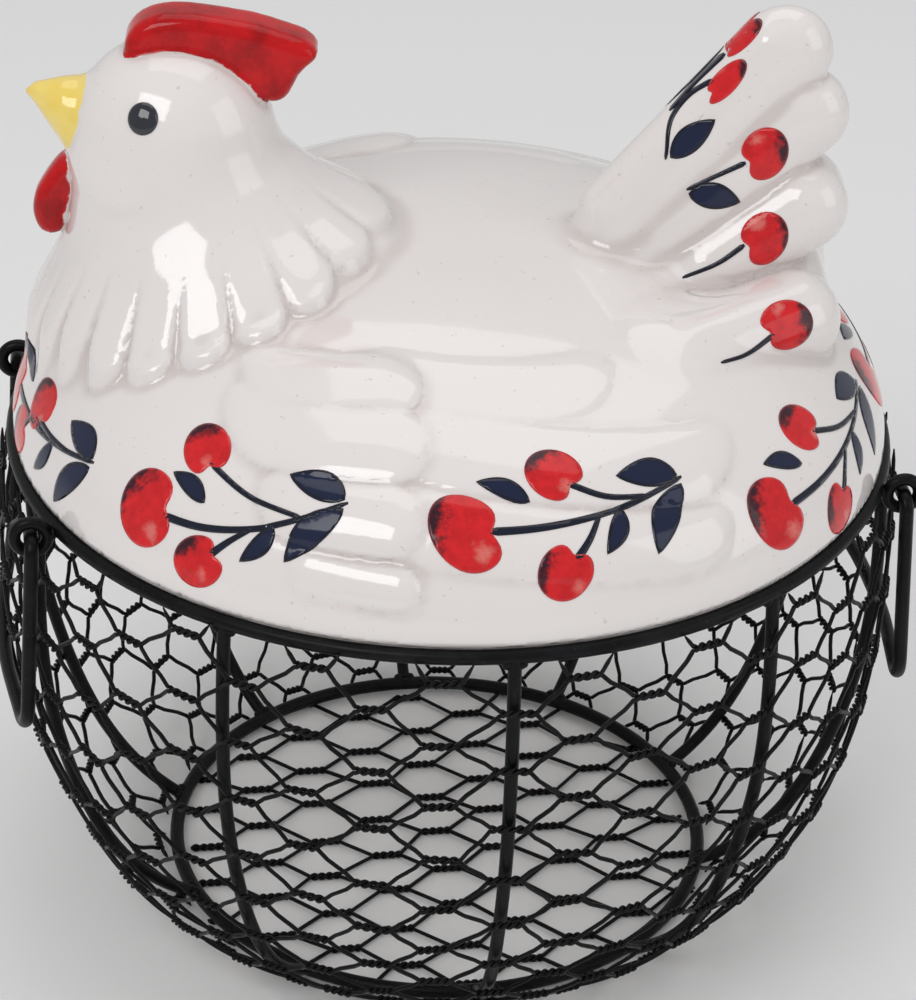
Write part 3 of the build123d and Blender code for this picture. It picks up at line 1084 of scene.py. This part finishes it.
def build_eyes(tree):
    """Two raised black dots."""
    material = eye_paint()
    for name, side in (("near_eye", -1), ("far_eye", 1)):
        start = Vector((EYE_AT[0], side * 40.0, EYE_AT[1]))
        hit, normal, _, _ = tree.ray_cast(start, Vector((0, -side, 0)), 60.0)
        centre, out = np.array(hit), np.array(normal)
        across = np.cross(out, (0, 0, 1.0))
        across /= np.linalg.norm(across)
        up = np.cross(across, out)
        points = []
        for i in range(EYE_RINGS + 1):
            t = i / EYE_RINGS * math.pi / 2
            r, h = EYE_R * math.cos(t), EYE_PROUD * math.sin(t) - EYE_SUNK
            for k in range(EYE_SIDES):
                a = 2 * math.pi * k / EYE_SIDES
                points.append(centre + out * h + across * r * math.cos(a) + up * r * math.sin(a) * 1.06)
        faces = ring_faces(EYE_RINGS, EYE_SIDES)
        faces.append(tuple(range(EYE_SIDES - 1, -1, -1)))
        mesh_object(name, to_world(points), faces, material, "lid")


# ---------- netting ----------
def bowl_curve():
    """Radius, height and outward normal of the ribs' line against its length."""
    line = through(BOWL, 400)
    along = directions(line)
    return run_along(line), line, np.stack([-along[:, 1], along[:, 0]], -1)


BOWL_RUN, BOWL_LINE, BOWL_OUT = bowl_curve()
BOWL_OUT = BOWL_OUT * np.sign(BOWL_OUT[50, 0])


def on_bowl(angle, run, out):
    """Place from an angle, a way down the bowl and a height above the ribs' centreline."""
    r = np.interp(run, BOWL_RUN, BOWL_LINE[:, 0])
    z = np.interp(run, BOWL_RUN, BOWL_LINE[:, 1])
    nr = np.interp(run, BOWL_RUN, BOWL_OUT[:, 0])
    nz = np.interp(run, BOWL_RUN, BOWL_OUT[:, 1])
    reach = r + nr * out
    return np.stack([reach * np.cos(angle), reach * np.sin(angle), z + nz * out], -1)


def swell(run, most, at, spread):
    """A smooth hump along the bowl."""
    return most * np.exp(-((run - at) / spread) ** 2)


def net_bulge(angle, run):
    """Slack of the netting between the ribs: more on the lower bowl, none at the rings."""
    between = 0.5 - 0.5 * np.cos(RIB_COUNT * (angle + math.pi / 2))
    slack = (swell(run, *SLACK) + SLACK_LEAST) * (0.35 + 0.65 * between)
    waves = np.sin(3 * angle + NET_WAVE) * swell(run, *WAVES)
    ends = smoothstep(0, 14, run) * (1 - smoothstep(120, 136, run))
    return (slack + waves) * ends


def twist(upper, centre, run, length, r, lean):
    """One wire of a twisted pair as points of (angle, run, offset)."""
    t = np.linspace(0, 1, TWIST_POINTS)
    phase = (0.0 if upper else math.pi) + 2 * math.pi * TWIST_TURNS * t
    angle = centre + (t - 0.5) * length / r
    down = run + NET_WIRE_R * np.cos(phase) + lean * (t - 0.5) * length
    return np.stack([angle, down, NET_WIRE_R * np.sin(phase)], -1)


def net_wires():
    """The twists along each wire of the side netting; neighbouring wires share them in turn."""
    rng = np.random.default_rng(11)
    length = BOWL_RUN[-1]
    rows = int((length - NET_TOP) / (NET_PITCH / 2)) + 1
    jitter = rng.normal(0, 1, (rows + 2, NET_COLUMNS, 3))
    step = 2 * math.pi / NET_COLUMNS
    wires = []
    for k in range(rows + 1):
        twists = []
        for c in range(NET_COLUMNS):
            upper = (c + k) % 2 == 1
            row = k - 1 if upper else k
            if row < 0 or row >= rows:
                twists.append(None)
                continue
            shift, drop, wild = jitter[row, c]
            run = min(NET_TOP + row * NET_PITCH / 2 + drop * 0.5, length - 1.0)
            r = np.interp(run, BOWL_RUN, BOWL_LINE[:, 0])
            reach = TWIST_LENGTH * (r / RIM_R) ** 0.8 * (1 + 0.05 * wild)
            twists.append(twist(upper, c * step + shift * 0.5 / r, run, reach, r, 0.06 * wild))
        wires.append(twists)
    return wires


def slant(a, b, samples=3):
    """The straight run between two twists, a little curved."""
    t = np.linspace(0, 1, samples + 2)[1:-1]
    mid = a + (b - a) * t[:, None]
    bow = np.sin(2 * math.pi * t) * 0.35
    mid[:, 1] += bow * np.sign(b[1] - a[1])
    mid[:, 2] *= 0.5
    return mid


def whole_round(twists):
    """A wire that runs all the way round the basket."""
    path = []
    for c, here in enumerate(twists):
        after = twists[(c + 1) % NET_COLUMNS].copy()
        if c == NET_COLUMNS - 1:
            after[:, 0] += 2 * math.pi
        path.append(here)
        path.append(slant(here[-1], after[0]))
    return np.concatenate(path + [twists[0][:1] + (2 * math.pi, 0, 0)])


def tied(here, reach, run):
    """A single twist whose wire goes on at both ends to where it is tied to a ring."""
    lead = np.array([[here[0, 0] - reach, run, TIE_OFF]])
    tail = np.array([[here[-1, 0] + reach, run, TIE_OFF]])
    return np.concatenate([lead, (lead + here[:1]) / 2, here, (tail + here[-1:]) / 2, tail])


def build_side_netting(material):
    parts = [[] for _ in range(NET_PARTS)]
    for k, twists in enumerate(net_wires()):
        there = [p for p in twists if p is not None]
        if len(there) == NET_COLUMNS:
            lines = [whole_round(twists)]
        elif k == 0:
            lines = [tied(here, 2.4 / RIM_R, 0.3) for here in there]
        else:
            lines = [tied(here, 2.0 / BASE_R, BOWL_RUN[-1]) for here in there]
        for line in lines:
            angle, run, out = line.T
            path = on_bowl(angle, run, NET_OFF + net_bulge(angle, run) + out)
            parts[min(k // PART_ROWS, NET_PARTS - 1)].append(tube(path, NET_WIRE_R, NET_SIDES))
    for key, tubes in enumerate(parts, 1):
        points, faces = join_parts(tubes)
        name = f"side_netting_{key}"
        mesh_object(name, points * MM, faces, material, "basket")
    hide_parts("side_netting")


def build_base_netting(material):
    """Flat netting under the base, the same mesh cut round."""
    rng = np.random.default_rng(5)
    reach = BASE_R + 2.0
    step = 2 * math.pi * RIM_R / NET_COLUMNS
    half = int(reach / step) + 2
    rows = int(reach / (NET_PITCH / 2)) + 2
    jitter = rng.normal(0, 1, (2 * rows + 3, 2 * half + 3, 2)) * 0.5
    parts = []
    for k in range(-rows, rows + 1):
        path = []
        for c in range(-half, half + 1):
            upper = (c + k) % 2 == 1
            row = k - 1 if upper else k
            shift, drop = jitter[(row + rows) % (2 * rows + 3), c + half]
            path.append(twist(upper, c * step + shift, row * NET_PITCH / 2 + drop, TWIST_LENGTH, 1.0, 0.0))
        line = np.concatenate(path) * (1, -1, 1) + (0, 0, BASE_NET_Z)
        inside = np.hypot(line[:, 0], line[:, 1]) < reach
        for run in np.split(np.arange(len(line)), np.where(np.diff(inside.astype(int)) != 0)[0] + 1):
            if len(run) > 4 and inside[run[0]]:
                parts.append(tube(line[run], NET_WIRE_R, NET_SIDES))
    points, faces = join_parts(parts)
    piece = mesh_object("base_netting_wire", points * MM, faces, material, "basket")
    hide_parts("base_netting")


BEAD_RINGS = 7
BEAD_SIDES = 12
RIM_BEAD = (1.4, 1.5, 1.5)
BASE_BEAD = (1.4, 1.4, 1.3)
EYELET_BEAD = (1.7, 1.7, 1.6)


def bead(rng, centre, size):
    """Points and faces of one lumpy blob of weld."""
    lumps = rng.normal(0, 0.06, (BEAD_RINGS + 1, BEAD_SIDES))
    lumps[[0, -1]] = 0
    points = []
    for i in range(BEAD_RINGS + 1):
        t = math.pi * i / BEAD_RINGS
        for k in range(BEAD_SIDES):
            a = 2 * math.pi * k / BEAD_SIDES
            way = np.array([math.sin(t) * math.cos(a), math.sin(t) * math.sin(a), math.cos(t)])
            points.append(np.array(centre) + way * size * (1 + lumps[i, k]))
    faces = [(a, d, c, b) for a, b, c, d in ring_faces(BEAD_RINGS, BEAD_SIDES)]
    return np.array(points), faces


def build_weld_beads(material):
    """Blobs of weld under the paint where ribs meet the rings and eyelets meet the rim."""
    rng = np.random.default_rng(3)
    parts = []
    for i in range(RIB_COUNT):
        a = math.radians(-90 + i * 360 / RIB_COUNT)
        out, across = np.array([math.cos(a), math.sin(a), 0]), np.array([-math.sin(a), math.cos(a), 0])
        for side in (-1, 1):
            at_rim = out * (RIM_R + 0.1) + across * side * 1.7 + (0, 0, RIM_Z - 1.7)
            at_base = out * (BASE_R + 1.0) + across * side * 1.5 + (0, 0, BASE_Z + 1.2)
            parts.append(bead(rng, at_rim, RIM_BEAD))
            parts.append(bead(rng, at_base, BASE_BEAD))
    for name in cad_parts:
        if name.endswith("eyelet"):
            low, high = (np.array(c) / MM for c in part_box(name))
            centre = (low + high) / 2
            a = math.atan2(centre[1], centre[0])
            touch = np.array([math.cos(a) * RIM_R, math.sin(a) * RIM_R, RIM_Z])
            toward = (touch - centre) / np.linalg.norm(touch - centre)
            for shift in (-1.6, 1.6):
                parts.append(bead(rng, touch + (0, shift, -0.6) + toward * -0.6, EYELET_BEAD))
    points, faces = join_parts(parts)
    mesh_object("weld_beads", points * MM, faces, material, "basket")


def paint_frame(material):
    """Paints every wire that is carried over from the CAD."""
    for name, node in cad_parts.items():
        if name not in ("hen_lid", "side_netting", "base_netting"):
            node.data.materials.clear()
            node.data.materials.append(material)


# ---------- stage ----------
CAMERA_TARGET = np.array([0.0, 0.0, RIM_Z])
CAMERA_WAY = np.array([-0.1315, -0.8597, 0.4936])
CAMERA_AWAY = 890.4
CAMERA_LENS = 128.4
CAMERA_SENSOR = 36.0
FOCAL = CAMERA_LENS / CAMERA_SENSOR
RIM_AT = (-0.00895, 0.08115)          # the rim's centre in the picture, from its middle, in image heights
CAMERA_ROLL = math.radians(1.6376)

FLOOR_HALF = 4.0
WORLD_STRENGTH = 0.50
LIGHT_TARGET = (0, 0, 0.13)
# Soft lights: (name, place, size, watts), in metres.
LIGHTS = [
    ("key", (-0.55, -0.75, 0.95), (0.7, 0.5), 4.0),
    ("fill", (0.95, -0.55, 0.55), (0.6, 0.8), 1.4),
    ("top", (0.1, 0.25, 1.15), (1.0, 0.8), 2.4),
]


def make_camera():
    """Looks down at the basket from the front and a little to its left, with the rim above mid-picture."""
    place = CAMERA_TARGET + CAMERA_WAY * CAMERA_AWAY
    back = Vector(CAMERA_WAY).normalized()
    right = Vector((0, 0, 1)).cross(back).normalized()
    up = back.cross(right)
    aim = Matrix((right, up, back)).transposed()
    roll = Matrix.Rotation(-CAMERA_ROLL, 3, "Z")
    seen = Vector((RIM_AT[0], RIM_AT[1], -FOCAL)).normalized()
    tilt = Vector((0, 0, -1)).rotation_difference(seen).to_matrix()
    turned = aim @ (tilt @ roll).inverted()
    data = bpy.data.cameras.new("camera")
    data.lens = CAMERA_LENS
    data.sensor_width = CAMERA_SENSOR
    camera = bpy.data.objects.new("camera", data)
    bpy.context.scene.collection.objects.link(camera)
    camera.matrix_world = Matrix.Translation(Vector(place * MM)) @ turned.to_4x4()
    bpy.context.scene.camera = camera


def area_light(name, place, size, watts):
    data = bpy.data.lights.new(name, "AREA")
    data.shape = "RECTANGLE"
    data.size, data.size_y = size
    data.energy = watts
    light = bpy.data.objects.new(name, data)
    bpy.context.scene.collection.objects.link(light)
    turn = (Vector(LIGHT_TARGET) - Vector(place)).to_track_quat("-Z", "Y")
    light.matrix_world = Matrix.Translation(Vector(place)) @ turn.to_matrix().to_4x4()


def make_stage():
    """Pale floor, pale surroundings and soft lights."""
    n = Nodes("floor")
    n.set(Base_Color=(0.94, 0.94, 0.94, 1), Roughness=0.8)
    corners = [(a * FLOOR_HALF, b * FLOOR_HALF, 0) for a, b in ((-1, -1), (1, -1), (1, 1), (-1, 1))]
    floor = mesh_object("floor", corners, [(0, 1, 2, 3)], n.material, smooth=False)
    world = bpy.data.worlds.new("studio")
    world.use_nodes = True
    background = world.node_tree.nodes["Background"]
    background.inputs["Color"].default_value = (1.0, 1.0, 1.0, 1)
    background.inputs["Strength"].default_value = WORLD_STRENGTH
    bpy.context.scene.world = world
    for row in LIGHTS:
        area_light(*row)
    bpy.context.scene.view_settings.view_transform = "Standard"


# ---------- build ----------
make_stage()
make_camera()
frame_paint = black_paint("frame_paint", 700.0)
paint_frame(frame_paint)
net_paint = black_paint("netting_paint", 1600.0)
build_side_netting(net_paint)
build_base_netting(net_paint)
build_weld_beads(frame_paint)
hen_points, hen_faces = build_hen()
hen_tree = paint_hen(hen_points, hen_faces)
build_eyes(hen_tree)
